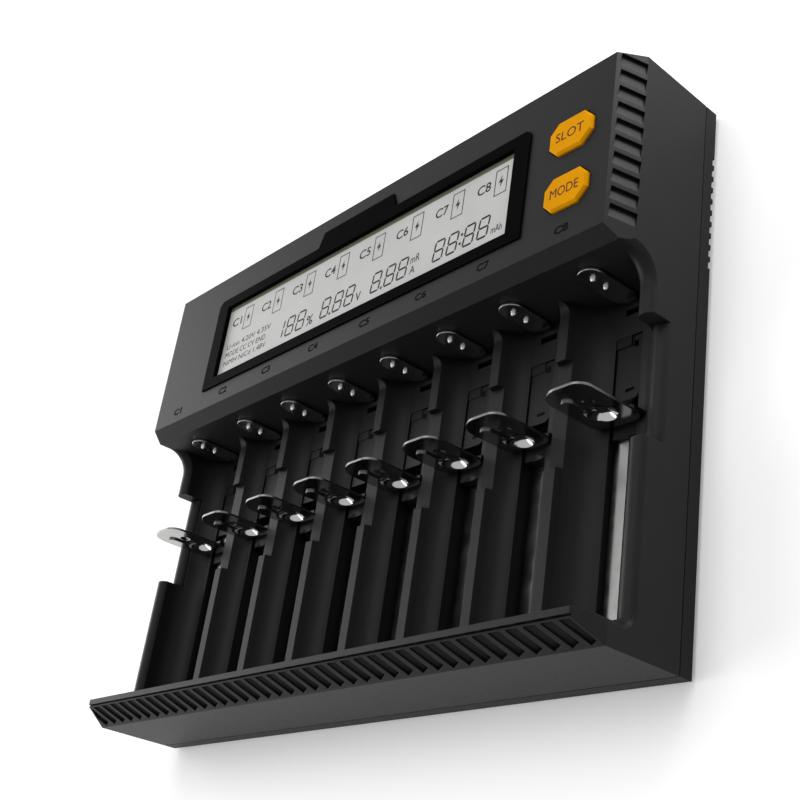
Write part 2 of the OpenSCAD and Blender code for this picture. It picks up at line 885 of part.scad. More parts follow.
module return_spring(i) {
    turns = 16;
    pitch = (spring_post_y - lug_y) / turns;
    wire_r = pitch / 2;
    r = spring_d / 2;
    color([0.75, 0.76, 0.78])
    seated()
    translate([bay_x(i) + spring_x, lug_y, spring_z]) rotate([-90, 0, 0]) rotate_extrude() {
        translate([r - 0.6, 0]) square([0.35, turns * pitch]);
        for (k = [0:turns - 1])
            translate([r - 0.4, (k + 0.5) * pitch]) intersection() {
                circle(wire_r);
                translate([-0.2, -wire_r]) square([0.6, 2 * wire_r]);
            }
    }
}

// Slider plate: a tongue with a dish, a stiffening rib and a dimple pressed into it
plate_lift = 0.5;
dish_z = floor_in + 5.5;

function cap_sphere(r, h) = (r * r + h * h) / (2 * h);

module plate_outline(base) {
    half = plate_w / 2;
    foot_r = 3.2;
    difference() {
        translate([-half, base]) square([plate_w, plate_top - base]);
        translate([-half, plate_top]) mirror([0, 1]) inner_corner(6.4, past);
        translate([half, plate_top]) mirror([0, 1]) mirror([1, 0]) inner_corner(3.6, past);
        translate([-half, base]) inner_corner(foot_r, past);
        translate([half, base]) mirror([1, 0]) inner_corner(foot_r, past);
    }
}

module plate_rib() {
    half = 1.7;
    top = plate_top - 5;
    translate([-3, 0]) {
        translate([0, top - half]) circle(half);
        translate([-half, dish_z]) square([2 * half, top - half - dish_z]);
    }
}

module plate_at(i) {
    bowl_r = cap_sphere(dish_r, dish_depth);
    dimple_r = 1.6;
    dimple_t = 0.4;
    dimple_ball = cap_sphere(dimple_r, dimple_t);
    color([0.8, 0.8, 0.8])
    seated()
    translate([bay_x(i), 0, 0]) difference() {
        union() {
            along_y(plate_y, plate_y + plate_t) plate_outline(bay_floor(i) + plate_lift);
            along_y(plate_y - 0.5, plate_y + plate_t / 2) plate_rib();
            intersection() {
                translate([0, plate_y + plate_t + dish_depth - bowl_r, dish_z]) sphere(r = bowl_r);
                translate([0, plate_y, dish_z]) rotate([-90, 0, 0]) cylinder(r = dish_r, h = 5);
            }
        }
        intersection() {
            translate([0, plate_y + dish_depth - bowl_r, dish_z]) sphere(r = bowl_r);
            translate([0, plate_y - past, dish_z]) rotate([-90, 0, 0]) cylinder(r = dish_r, h = 6);
        }
        translate([1.8, plate_y + dimple_t - dimple_ball, plate_top - 8]) sphere(r = dimple_ball);
    }
}

// Carriage: a saddle behind the plate, a stem in the slot, a leg and a shoe under the floor
saddle_top = floor_in + 2.2;

module saddle_section(i) {
    half = plate_w / 2 - 0.4;
    intersection() {
        mirror([bay_side(i) < 0 ? 1 : 0, 0]) translate([0, slide_gap]) bed_section(i);
        translate([-half, 0]) square([2 * half, saddle_top]);
    }
}

module carriage_at(i) {
    side = slot_half - slide_gap;
    back = plate_y + plate_t;
    leg_z = cover_floor + 1.3;
    stem_top = bay_floor(i) - 0.7;
    bowl_r = cap_sphere(dish_r, dish_depth);
    color([0.09, 0.09, 0.095])
    seated()
    translate([bay_x(i), 0, 0]) difference() {
        union() {
            along_y(back, carriage_y1) saddle_section(i);
            block(-side, side, back, carriage_y1, rail_z + slide_gap, bay_floor(i) + past);
            block(-side, side, carriage_y0, carriage_y1, rail_z + slide_gap, stem_top);
            block(leg_x0, side, carriage_y0, plate_y, leg_z, rail_z + slide_gap);
            block(-3, slot_half + 1, carriage_y0, plate_y, leg_z, shoe_top);
            block(leg_x0, side, plate_y - 0.1, lug_y, leg_z, rail_z - 0.5);
        }
        translate([0, back + dish_depth - bowl_r, dish_z]) sphere(r = bowl_r + 0.1);
    }
}

// Contact: a plate with round ends on its wall, two pins, and a stem through the wall to the board
module contact_at(i) {
    half = tab_w / 2;
    base = bay_floor(i) + 0.2;
    leg_y = contact_y + wall + stem_t;
    color([0.8, 0.8, 0.8])
    seated()
    translate([bay_x(i), 0, 0]) {
        along_y(contact_y - tab_t, contact_y) {
            for (z = [base + half, tab_top - half]) translate([0, z]) circle(half);
            translate([-half, base + half]) square([tab_w, tab_top - base - tab_w]);
        }
        block(-stem_half, stem_half, contact_y - tab_t / 2, leg_y + stem_t, stem_z, stem_z + stem_t);
        block(-stem_half, stem_half, leg_y, leg_y + stem_t, board_top, stem_z + stem_t);
        for (z = [tab_top - 4, tab_top - 8.6])
            translate([0, contact_y - tab_t + past / 2, z]) rotate([90, 0, 0]) {
                cylinder(r = pin_r, h = pin_l + past / 2 - pin_r);
                translate([0, 0, pin_l + past / 2 - pin_r]) sphere(r = pin_r);
            }
    }
}

module contact_1() { contact_at(1); }
module contact_2() { contact_at(2); }
module contact_3() { contact_at(3); }
module contact_4() { contact_at(4); }
module contact_5() { contact_at(5); }
module contact_6() { contact_at(6); }
module contact_7() { contact_at(7); }
module contact_8() { contact_at(8); }
module slider_plate_1() { plate_at(1); }
module slider_plate_2() { plate_at(2); }
module slider_plate_3() { plate_at(3); }
module slider_plate_4() { plate_at(4); }
module slider_plate_5() { plate_at(5); }
module slider_plate_6() { plate_at(6); }
module slider_plate_7() { plate_at(7); }
module slider_plate_8() { plate_at(8); }
module carriage_1() { carriage_at(1); }
module carriage_2() { carriage_at(2); }
module carriage_3() { carriage_at(3); }
module carriage_4() { carriage_at(4); }
module carriage_5() { carriage_at(5); }
module carriage_6() { carriage_at(6); }
module carriage_7() { carriage_at(7); }
module carriage_8() { carriage_at(8); }
module spring_1() { return_spring(1); }
module spring_2() { return_spring(2); }
module spring_3() { return_spring(3); }
module spring_4() { return_spring(4); }
module spring_5() { return_spring(5); }
module spring_6() { return_spring(6); }
module spring_7() { return_spring(7); }
module spring_8() { return_spring(8); }

upper_shell();
back_cover();
display_bezel();
display_glass();
display_backlight();
display_board();
main_board();
board_header();
button_slot();
button_mode();
plunger_slot();
plunger_mode();
tact_switches();
dc_jack();
power_inductors();
capacitors();
control_chips();
contact_rails();
slot_covers();
case_screws();
board_screws();
rubber_feet();
contact_1();
contact_2();
contact_3();
contact_4();
contact_5();
contact_6();
contact_7();
contact_8();
slider_plate_1();
slider_plate_2();
slider_plate_3();
slider_plate_4();
slider_plate_5();
slider_plate_6();
slider_plate_7();
slider_plate_8();
carriage_1();
carriage_2();
carriage_3();
carriage_4();
carriage_5();
carriage_6();
carriage_7();
carriage_8();
spring_1();
spring_2();
spring_3();
spring_4();
spring_5();
spring_6();
spring_7();
spring_8();
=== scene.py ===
"""Eight-bay battery charger: finishes, lettering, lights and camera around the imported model."""
import math

import bmesh
import bpy
from mathutils import Euler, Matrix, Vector


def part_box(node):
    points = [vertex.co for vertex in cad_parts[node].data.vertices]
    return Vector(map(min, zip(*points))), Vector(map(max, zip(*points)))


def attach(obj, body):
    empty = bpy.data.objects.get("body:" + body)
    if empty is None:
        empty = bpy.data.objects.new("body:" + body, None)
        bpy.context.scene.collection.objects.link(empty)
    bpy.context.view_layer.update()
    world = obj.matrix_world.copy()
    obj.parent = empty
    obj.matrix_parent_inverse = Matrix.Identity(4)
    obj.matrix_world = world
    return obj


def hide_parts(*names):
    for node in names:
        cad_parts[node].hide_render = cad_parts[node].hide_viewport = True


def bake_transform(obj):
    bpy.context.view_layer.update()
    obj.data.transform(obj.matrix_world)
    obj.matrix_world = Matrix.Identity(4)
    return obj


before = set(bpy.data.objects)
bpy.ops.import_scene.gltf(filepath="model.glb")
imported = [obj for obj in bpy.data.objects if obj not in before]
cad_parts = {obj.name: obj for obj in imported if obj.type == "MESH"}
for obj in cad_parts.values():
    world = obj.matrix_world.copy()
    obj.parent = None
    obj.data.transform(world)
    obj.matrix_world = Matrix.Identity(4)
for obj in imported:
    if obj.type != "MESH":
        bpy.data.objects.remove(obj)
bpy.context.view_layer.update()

MM = 0.001

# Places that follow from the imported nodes
shell_low, shell_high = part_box("upper_shell")
glass_low, glass_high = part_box("display_glass")
bay_numbers = range(1, 9)
contact_boxes = {i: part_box(f"contact_{i}") for i in bay_numbers}
bay_x = {i: (low.x + high.x) / 2 for i, (low, high) in contact_boxes.items()}

# Colours, linear
BLACK_SHELL = (0.0148, 0.0148, 0.0154)
BLACK_COVER = (0.0135, 0.0135, 0.0141)
BLACK_INNER = (0.0085, 0.0085, 0.0090)
BLACK_GLOSS = (0.0030, 0.0030, 0.0034)
ORANGE = (0.680, 0.285, 0.002)
ORANGE_INK = (0.060, 0.010, 0.004)
LCD_PALE = (0.500, 0.500, 0.490)
LCD_OLIVE = (0.140, 0.135, 0.100)
LCD_INK = (0.020, 0.021, 0.020)
INK_AND_HOLE_SHADE = (0.004, 0.004, 0.004)
LIGHT_GUIDE = (0.75, 0.75, 0.72)
NICKEL = (0.42, 0.42, 0.41)
RAIL_NICKEL = (0.275, 0.275, 0.27)
SPRING_WIRE = (0.62, 0.62, 0.63)
SCREW_ZINC = (0.45, 0.45, 0.46)
TIN_PLATE = (0.60, 0.60, 0.61)
BOARD_GREEN = (0.010, 0.085, 0.030)
FERRITE_GREY = (0.055, 0.055, 0.058)
SLEEVE_BLUE = (0.012, 0.016, 0.060)
RUBBER_BLACK = (0.012, 0.012, 0.012)

# Scales of the unevenness in each surface, in noise cells per metre
MOTTLE_SCALE = 55.0
GRAIN_SCALE = 2600.0
CLOUD_SCALE = 240.0
DRAWN_LINE_SCALE = 900.0
INK_COVER_SCALE = 1500.0
FLOOR_GRAIN_SCALE = 30.0
TRACK_SCALE = 160.0

# Relief of those surfaces
GRAIN_DEPTH = 0.05 * MM
DRAWN_LINE_DEPTH = 0.02 * MM
TRACK_DEPTH = 0.03 * MM

# Painted shade in the shell's slots and recesses: how near a wall the painted shade reaches, the share of
# colour left where it is painted, and the gloss of the open surfaces around them, which the painted shade
# takes away inside
SHADE_PAINT_REACH = 3.0 * MM
SHADE_PAINT_SHARE = 0.4
OPEN_SPECULAR = 0.5

# Dish in each slider plate: the height of its centre, its flat middle and its steep wall
DISH_Z = 17.0 * MM
DISH_FLAT_R = 1.3 * MM
DISH_OUTER_R = 4.3 * MM
DISH_WALL_RISE = 1.2 * MM

# Edges of the slider plates: their rounding, and the duller metal where they are cut
PLATE_EDGE = 0.20 * MM
CUT_EDGE_SHARE = 0.3
CUT_EDGE_ROUGHNESS = 0.32


# Node helpers
def blank_material(name):
    material = bpy.data.materials.new(name)
    material.use_nodes = True
    nodes = material.node_tree.nodes
    shader = nodes["Principled BSDF"]
    return material, nodes, material.node_tree.links, shader


def feed(links, socket, value):
    """Gives a node's input another node's output, a number or a colour"""
    if isinstance(value, bpy.types.NodeSocket):
        links.new(value, socket)
    elif isinstance(value, tuple):
        socket.default_value = (*value, 1)
    else:
        socket.default_value = value


def scalar_math(nodes, links, operation, first, second=None):
    node = nodes.new("ShaderNodeMath")
    node.operation = operation
    links.new(first, node.inputs[0])
    if second is not None:
        feed(links, node.inputs[1], second)
    return node.outputs["Value"]


def vector_math(nodes, links, operation, vector, constant=(0.0, 0.0, 0.0)):
    node = nodes.new("ShaderNodeVectorMath")
    node.operation = operation
    links.new(vector, node.inputs[0])
    node.inputs[1].default_value = constant
    return node.outputs["Value" if operation == "LENGTH" else "Vector"]


def noise(nodes, links, scale, detail=3.0, stretch=(1.0, 1.0, 1.0)):
    where = nodes.new("ShaderNodeTexCoord")
    mapping = nodes.new("ShaderNodeMapping")
    mapping.inputs["Scale"].default_value = stretch
    texture = nodes.new("ShaderNodeTexNoise")
    texture.inputs["Scale"].default_value = scale
    texture.inputs["Detail"].default_value = detail
    texture.inputs["Roughness"].default_value = 0.5
    links.new(where.outputs["Object"], mapping.inputs["Vector"])
    links.new(mapping.outputs["Vector"], texture.inputs["Vector"])
    return texture.outputs["Fac"]


def spread(nodes, links, value, low, high, from_low=0.3, from_high=0.7, interpolation="LINEAR"):
    """A value's range carried over to another; noise keeps mostly between 0.3 and 0.7"""
    ramp = nodes.new("ShaderNodeMapRange")
    ramp.interpolation_type = interpolation
    ramp.inputs["From Min"].default_value = from_low
    ramp.inputs["From Max"].default_value = from_high
    ramp.inputs["To Min"].default_value = low
    ramp.inputs["To Max"].default_value = high
    links.new(value, ramp.inputs["Value"])
    return ramp.outputs["Result"]


def tint(nodes, links, value, dark, light):
    """From one colour at 0 to another at 1"""
    mix = nodes.new("ShaderNodeMix")
    mix.data_type = "RGBA"
    feed(links, mix.inputs["A"], dark)
    feed(links, mix.inputs["B"], light)
    links.new(value, mix.inputs["Factor"])
    return mix.outputs["Result"]


def scaled(colour, factor):
    return tuple(c * factor for c in colour)


def soft_edges(nodes, radius):
    bevel = nodes.new("ShaderNodeBevel")
    bevel.samples = 4
    bevel.inputs["Radius"].default_value = radius
    return bevel.outputs["Normal"]


def bump(nodes, links, height, strength, distance, normal=None):
    node = nodes.new("ShaderNodeBump")
    node.inputs["Strength"].default_value = strength
    node.inputs["Distance"].default_value = distance
    links.new(height, node.inputs["Height"])
    if normal is not None:
        links.new(normal, node.inputs["Normal"])
    return node.outputs["Normal"]


def recess_shade_mask(nodes, links):
    """1 on open surfaces, falling to 0 inside slots and recesses, where shade is painted into the colour and
    the gloss
    """
    nearby = nodes.new("ShaderNodeAmbientOcclusion")
    nearby.samples = 6
    nearby.inputs["Distance"].default_value = SHADE_PAINT_REACH
    return spread(nodes, links, nearby.outputs["AO"], 0.0, 1.0, 0.45, 0.90)


def dish_depth(nodes, links, centre):
    """Fall of the dish's wall around its flat middle, about an axis along Y"""
    where = nodes.new("ShaderNodeTexCoord")
    offset = vector_math(nodes, links, "SUBTRACT", where.outputs["Object"], centre)
    across = vector_math(nodes, links, "MULTIPLY", offset, (1.0, 0.0, 1.0))
    reach = vector_math(nodes, links, "LENGTH", across)
    return spread(nodes, links, reach, 0.0, -DISH_WALL_RISE, DISH_FLAT_R, DISH_OUTER_R, "SMOOTHSTEP")


# Finishes
def moulded(name, colour, roughness, ior, grain=0.02, edge=0.25 * MM, painted_shade=False):
    """Moulded plastic: a fine spark-eroded grain, slight mottling and small rounded edges, and, where asked,
    painted shade in its slots and recesses
    """
    material, nodes, links, shader = blank_material(name)
    mottle = noise(nodes, links, MOTTLE_SCALE, detail=4.0)
    fine = noise(nodes, links, GRAIN_SCALE, detail=2.0)
    skin = tint(nodes, links, mottle, scaled(colour, 0.88), scaled(colour, 1.12))
    if painted_shade:
        # Painted shade: the occlusion of nearby walls darkens the colour and takes the gloss away in slots
        # and recesses
        unshaded = recess_shade_mask(nodes, links)
        specular = spread(nodes, links, unshaded, 0.0, OPEN_SPECULAR, 0.0, 1.0)
        links.new(specular, shader.inputs["Specular IOR Level"])
        skin = tint(nodes, links, unshaded, scaled(colour, SHADE_PAINT_SHARE), skin)
    links.new(skin, shader.inputs["Base Color"])
    links.new(spread(nodes, links, fine, roughness - 0.04, roughness + 0.04), shader.inputs["Roughness"])
    shader.inputs["IOR"].default_value = ior
    normal = soft_edges(nodes, edge) if edge else None
    links.new(bump(nodes, links, fine, grain, GRAIN_DEPTH, normal), shader.inputs["Normal"])
    return material


def plating(nodes, links, colour, clouds):
    return tint(nodes, links, clouds, scaled(colour, 0.93), colour)


def metal(name, colour, roughness, brushed=(1.0, 1.0, 1.0), grain=0.01, edge=0.12 * MM):
    """Plated or bare metal with faint drawing lines and a few duller clouds"""
    material, nodes, links, shader = blank_material(name)
    clouds = noise(nodes, links, CLOUD_SCALE, detail=4.0)
    lines = noise(nodes, links, DRAWN_LINE_SCALE, stretch=brushed)
    links.new(plating(nodes, links, colour, clouds), shader.inputs["Base Color"])
    links.new(spread(nodes, links, clouds, roughness * 0.8, roughness * 1.3), shader.inputs["Roughness"])
    shader.inputs["Metallic"].default_value = 1.0
    normal = soft_edges(nodes, edge)
    links.new(bump(nodes, links, lines, grain, DRAWN_LINE_DEPTH, normal), shader.inputs["Normal"])
    return material


def dished_metal(name, colour, roughness, centre):
    """Plated sheet across Y, with a dish about a centre in the frame and duller cut edges"""
    material, nodes, links, shader = blank_material(name)
    clouds = noise(nodes, links, CLOUD_SCALE, detail=4.0)
    surface = nodes.new("ShaderNodeNewGeometry")
    facing = nodes.new("ShaderNodeSeparateXYZ")
    links.new(surface.outputs["True Normal"], facing.inputs["Vector"])
    flatness = scalar_math(nodes, links, "ABSOLUTE", facing.outputs["Y"])
    face = spread(nodes, links, flatness, 0.0, 1.0, 0.4, 0.7)
    plated = plating(nodes, links, colour, clouds)
    links.new(tint(nodes, links, face, scaled(colour, CUT_EDGE_SHARE), plated), shader.inputs["Base Color"])
    dulled = spread(nodes, links, face, CUT_EDGE_ROUGHNESS, roughness, 0.0, 1.0)
    links.new(dulled, shader.inputs["Roughness"])
    shader.inputs["Metallic"].default_value = 1.0
    side = scalar_math(nodes, links, "SIGN", facing.outputs["Y"])
    height = scalar_math(nodes, links, "MULTIPLY", side, dish_depth(nodes, links, centre))
    normal = soft_edges(nodes, PLATE_EDGE)
    links.new(bump(nodes, links, height, 1.0, 1.0, normal), shader.inputs["Normal"])
    return material


def printed(name, colour, roughness, ior):
    """Ink or a screen segment: nearly even, with a slight unevenness of cover"""
    material, nodes, links, shader = blank_material(name)
    cover = noise(nodes, links, INK_COVER_SCALE, detail=2.0)
    shade = tint(nodes, links, cover, scaled(colour, 0.85), scaled(colour, 1.15))
    links.new(shade, shader.inputs["Base Color"])
    shader.inputs["Roughness"].default_value = roughness
    shader.inputs["IOR"].default_value = ior
    return material


def circuit_board(name):
    """Green solder mask over a faint grid of tracks"""
    material, nodes, links, shader = blank_material(name)
    where = nodes.new("ShaderNodeTexCoord")
    tracks = nodes.new("ShaderNodeTexBrick")
    tracks.inputs["Scale"].default_value = TRACK_SCALE
    tracks.inputs["Mortar Size"].default_value = 0.03
    feed(links, tracks.inputs["Color1"], BOARD_GREEN)
    feed(links, tracks.inputs["Color2"], scaled(BOARD_GREEN, 0.8))
    feed(links, tracks.inputs["Mortar"], scaled(BOARD_GREEN, 1.6))
    links.new(where.outputs["Object"], tracks.inputs["Vector"])
    links.new(tracks.outputs["Color"], shader.inputs["Base Color"])
    shader.inputs["Roughness"].default_value = 0.35
    links.new(bump(nodes, links, tracks.outputs["Fac"], 0.3, TRACK_DEPTH), shader.inputs["Normal"])
    return material


# The shell's slots and recesses get painted shade
shell_plastic = moulded("shell_plastic", BLACK_SHELL, roughness=0.42, ior=1.16, painted_shade=True)
cover_plastic = moulded("cover_plastic", BLACK_COVER, roughness=0.46, ior=1.15)
carriage_plastic = moulded("carriage_plastic", BLACK_INNER, roughness=0.38, ior=1.18)
inner_plastic = moulded("inner_plastic", BLACK_INNER, roughness=0.45, ior=1.18)
bezel_gloss = moulded("bezel_gloss", BLACK_GLOSS, roughness=0.25, ior=1.03, grain=0.004, edge=0.2 * MM)
button_orange = moulded("button_orange", ORANGE, roughness=0.50, ior=1.06, grain=0.01, edge=0.15 * MM)
lcd_pale = moulded("lcd_pale", LCD_PALE, roughness=0.30, ior=1.15, grain=0.002, edge=0)
lcd_backlight = moulded("lcd_backlight", LIGHT_GUIDE, roughness=0.6, ior=1.4)
rubber = moulded("rubber", RUBBER_BLACK, roughness=0.75, ior=1.4, grain=0.05)
contact_nickel = metal("contact_nickel", NICKEL, roughness=0.20, edge=0.42 * MM)
rail_nickel = metal("rail_nickel", RAIL_NICKEL, roughness=0.20, brushed=(1.0, 0.05, 1.0), grain=0.02)
spring_steel = metal("spring_steel", SPRING_WIRE, roughness=0.22)
screw_steel = metal("screw_steel", SCREW_ZINC, roughness=0.30)
tin_steel = metal("tin_steel", TIN_PLATE, roughness=0.28)
board_green = circuit_board("circuit_board")
ferrite = moulded("ferrite", FERRITE_GREY, roughness=0.7, ior=1.4)
capacitor_sleeve = moulded("capacitor_sleeve", SLEEVE_BLUE, roughness=0.30, ior=1.45)
screen_ink = printed("screen_ink", LCD_INK, roughness=0.35, ior=1.15)
screen_olive = printed("screen_olive", LCD_OLIVE, roughness=0.35, ior=1.15)
# Black ink for the bay marks, also laid on the slot lids as painted shade in place of their openings
ink_and_hole_shade = printed("ink_and_hole_shade", INK_AND_HOLE_SHADE, roughness=0.8, ior=1.1)
orange_ink = printed("orange_ink", ORANGE_INK, roughness=0.5, ior=1.2)

FINISHES = {
    "upper_shell": shell_plastic,
    "back_cover": cover_plastic,
    "display_bezel": bezel_gloss,
    "display_glass": lcd_pale,
    "display_backlight": lcd_backlight,
    "display_board": board_green,
    "main_board": board_green,
    "board_header": inner_plastic,
    "button_slot": button_orange,
    "button_mode": button_orange,
    "plunger_slot": inner_plastic,
    "plunger_mode": inner_plastic,
    "tact_switches": tin_steel,
    "dc_jack": inner_plastic,
    "power_inductors": ferrite,
    "capacitors": capacitor_sleeve,
    "control_chips": inner_plastic,
    "contact_rails": rail_nickel,
    "slot_covers": carriage_plastic,
    "case_screws": screw_steel,
    "board_screws": screw_steel,
    "rubber_feet": rubber,
}
for i in bay_numbers:
    FINISHES[f"contact_{i}"] = contact_nickel
    FINISHES[f"slider_plate_{i}"] = dished_metal(
        f"plate_nickel_{i}", NICKEL, roughness=0.14, centre=(bay_x[i], 0.0, DISH_Z),
    )
    FINISHES[f"carriage_{i}"] = carriage_plastic
    FINISHES[f"spring_{i}"] = spring_steel

for name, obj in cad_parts.items():
    for index in range(len(obj.data.materials)):
        obj.data.materials[index] = FINISHES[name]


# Meshes, whose outlines are in millimetres on the case, X from its middle and Y from its low end
def plan(x, y):
    """A place on the case as a place in the frame"""
    return x * MM, shell_low.y + y * MM


def add_piece(name, mesh_data, material, body):
    mesh = bpy.data.meshes.new(name)
    mesh_data.to_mesh(mesh)
    mesh_data.free()
    mesh.materials.append(material)
    piece = bpy.data.objects.new(name, mesh)
    bpy.context.scene.collection.objects.link(piece)
    if body:
        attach(piece, body)
    return piece


def add_prism(data, outline, low, high):
    """A flat plate with the given outline, between two heights in the frame"""
    corners = [plan(x, y) for x, y in outline]
    bottom = [data.verts.new((x, y, low)) for x, y in corners]
    top = [data.verts.new((x, y, high)) for x, y in corners]
    data.faces.new(top)
    data.faces.new(bottom[::-1])
    for k, corner in enumerate(bottom):
        after = (k + 1) % len(bottom)
        data.faces.new((corner, bottom[after], top[after], top[k]))


def add_bar(data, x0, y0, x1, y1, low, high):
    add_prism(data, [(x0, y0), (x1, y0), (x1, y1), (x0, y1)], low, high)


def add_words(data, words, box, low, thickness, weight=0.0):
    """Words fitted to a box of x0, y0, x1, y1; the weight thickens their strokes"""
    curve = bpy.data.curves.new("words", "FONT")
    curve.body = words
    curve.size = 1.0
    curve.resolution_u = 3
    curve.offset = weight
    curve.extrude = 0.5
    holder = bpy.data.objects.new("words", curve)
    mesh = bpy.data.meshes.new_from_object(holder)
    xs = [vertex.co.x for vertex in mesh.vertices]
    ys = [vertex.co.y for vertex in mesh.vertices]
    x0, y0 = plan(box[0], box[1])
    x1, y1 = plan(box[2], box[3])
    for vertex in mesh.vertices:
        across = (vertex.co.x - min(xs)) / (max(xs) - min(xs))
        along = (vertex.co.y - min(ys)) / (max(ys) - min(ys))
        z = low + (vertex.co.z + curve.extrude) * thickness
        vertex.co = (x0 + across * (x1 - x0), y0 + along * (y1 - y0), z)
    data.from_mesh(mesh)
    bpy.data.objects.remove(holder)
    bpy.data.meshes.remove(mesh)
    bpy.data.curves.remove(curve)


# Liquid crystal screen, on which every segment shows, as in a display test
INK_Z = glass_high.z + 0.01 * MM
INK_T = 0.02 * MM
INK_TOP = INK_Z + INK_T

# Segments of a digit
SEGMENT_BARS = {"8": "abcdefg", "1": "bc"}
DIGIT_W, DIGIT_H = 4.2, 6.6
STROKE = 0.6
SEGMENT_GAP = 0.12
SLANT = 0.13

# Row of figures: places along X, and for dots and units heights above the digits' base line
FIGURES_Y = 110.5
FIGURES_X = {
    "1": [-36.2],
    "8": [-30.8, -25.4, -13.2, -7.2, -1.8, 10.3, 16.3, 21.7, 36.6, 42.0, 48.4, 53.8],
}
DOTS = [(-8.4, 0.0), (15.1, 0.0), (47.2, 1.5), (47.6, 4.2)]
DOT_SIDE = 0.8
UNITS = [
    ("%", (-19.6, 0.0, -16.4, 3.4), 0.01),
    ("V", (3.9, 0.0, 6.3, 2.8), 0.01),
    ("mR", (27.4, 3.5, 31.2, 5.9), 0.0),
    ("A", (27.6, 0.0, 29.8, 2.5), 0.0),
    ("mAh", (59.4, 0.0, 63.4, 2.2), 0.0),
]

# Row of bay labels, each with the sign of a standing cell beside it
LABEL_X = [-63.7, -47.2, -30.6, -14.1, 2.4, 19.0, 35.6, 52.1]
LABEL_W = 5.1
LABEL_Y0, LABEL_Y1 = 124.9, 127.9
LABEL_WEIGHT = 0.01
SIGN_PITCH = 6.6
SIGN_Y = 122.1
SIGN_W, SIGN_H = 4.6, 8.0
SIGN_LINE = 0.28
BOLT = [(0.25, 1.7), (-0.95, -0.25), (-0.1, -0.25), (-0.3, -1.7), (0.95, 0.35), (0.1, 0.35)]

SMALL_LINES = [
    ("Li-ion 4.20V 4.35V", (-64.2, 116.8, -39.7, 118.7)),
    ("MODE CC CV END", (-64.2, 113.7, -41.7, 115.6)),
    ("NiMH NiCd 1.48V", (-64.2, 110.7, -40.7, 112.6)),
]

# Darker band of the screen along its far edge
BAND_INSET = 0.4
BAND_Y0, BAND_Y1 = 131.6, 133.6


def add_segment(data, start, end, base):
    """One segment: a bar with pointed ends, slanted about the digits' base line"""
    (x0, y0), (x1, y1) = start, end
    length = math.hypot(x1 - x0, y1 - y0)
    ux, uy = (x1 - x0) / length, (y1 - y0) / length
    half = STROKE / 2
    outline = [
        (x0, y0),
        (x0 + ux * half + uy * half, y0 + uy * half - ux * half),
        (x1 - ux * half + uy * half, y1 - uy * half - ux * half),
        (x1, y1),
        (x1 - ux * half - uy * half, y1 - uy * half + ux * half),
        (x0 + ux * half - uy * half, y0 + uy * half + ux * half),
    ]
    add_prism(data, [(x + (y - base) * SLANT, y) for x, y in outline], INK_Z, INK_TOP)


def add_digit(data, shown, x, y):
    half, gap = STROKE / 2, SEGMENT_GAP
    left, right = x + half, x + DIGIT_W - half
    low, middle, high = y + half, y + DIGIT_H / 2, y + DIGIT_H - half
    ends = {
        "a": ((left + gap, high), (right - gap, high)),
        "b": ((right, high - gap), (right, middle + gap)),
        "c": ((right, middle - gap), (right, low + gap)),
        "d": ((left + gap, low), (right - gap, low)),
        "e": ((left, middle - gap), (left, low + gap)),
        "f": ((left, high - gap), (left, middle + gap)),
        "g": ((left + gap, middle), (right - gap, middle)),
    }
    for key in SEGMENT_BARS[shown]:
        add_segment(data, *ends[key], y)


def add_cell_sign(data, x, y):
    """Outline of a standing cell with a bolt"""
    right, far = x + SIGN_W, y + SIGN_H
    add_bar(data, x, y, right, y + SIGN_LINE, INK_Z, INK_TOP)
    add_bar(data, x, far - SIGN_LINE, right, far, INK_Z, INK_TOP)
    add_bar(data, x, y + SIGN_LINE, x + SIGN_LINE, far - SIGN_LINE, INK_Z, INK_TOP)
    add_bar(data, right - SIGN_LINE, y + SIGN_LINE, right, far - SIGN_LINE, INK_Z, INK_TOP)
    bolt = [(x + SIGN_W / 2 + bx, y + SIGN_H / 2 + by) for bx, by in BOLT]
    add_prism(data, bolt, INK_Z, INK_TOP)


def add_screen_art():
    data = bmesh.new()
    for number, x in enumerate(LABEL_X, 1):
        box = (x, LABEL_Y0, x + LABEL_W, LABEL_Y1)
        add_words(data, f"C{number}", box, INK_Z, INK_T, LABEL_WEIGHT)
        add_cell_sign(data, x + SIGN_PITCH, SIGN_Y)
    for words, box in SMALL_LINES:
        add_words(data, words, box, INK_Z, INK_T)
    for shown, places in FIGURES_X.items():
        for x in places:
            add_digit(data, shown, x, FIGURES_Y)
    for x, rise in DOTS:
        y = FIGURES_Y + rise
        add_bar(data, x, y, x + DOT_SIDE, y + DOT_SIDE, INK_Z, INK_TOP)
    for words, (x0, rise0, x1, rise1), weight in UNITS:
        box = (x0, FIGURES_Y + rise0, x1, FIGURES_Y + rise1)
        add_words(data, words, box, INK_Z, INK_T, weight)
    add_piece("screen_art", data, screen_ink, "housing")


def add_screen_band():
    data = bmesh.new()
    half = (glass_high.x - glass_low.x) / 2 / MM - BAND_INSET
    add_bar(data, -half, BAND_Y0, half, BAND_Y1, INK_Z, INK_TOP)
    add_piece("screen_band", data, screen_olive, "housing")


# Bay numbers along the head's near edge and words on the buttons, as thin print sunk a little in the surface
PRINT_SINK = 0.01 * MM
MARK_HALF = 2.3
MARK_Y0, MARK_Y1 = 99.4, 101.7
MARK_T = 0.03 * MM
MARK_WEIGHT = 0.035
WORD_HALF_W, WORD_HALF_H = 4.6, 1.35
WORD_T = 0.04 * MM


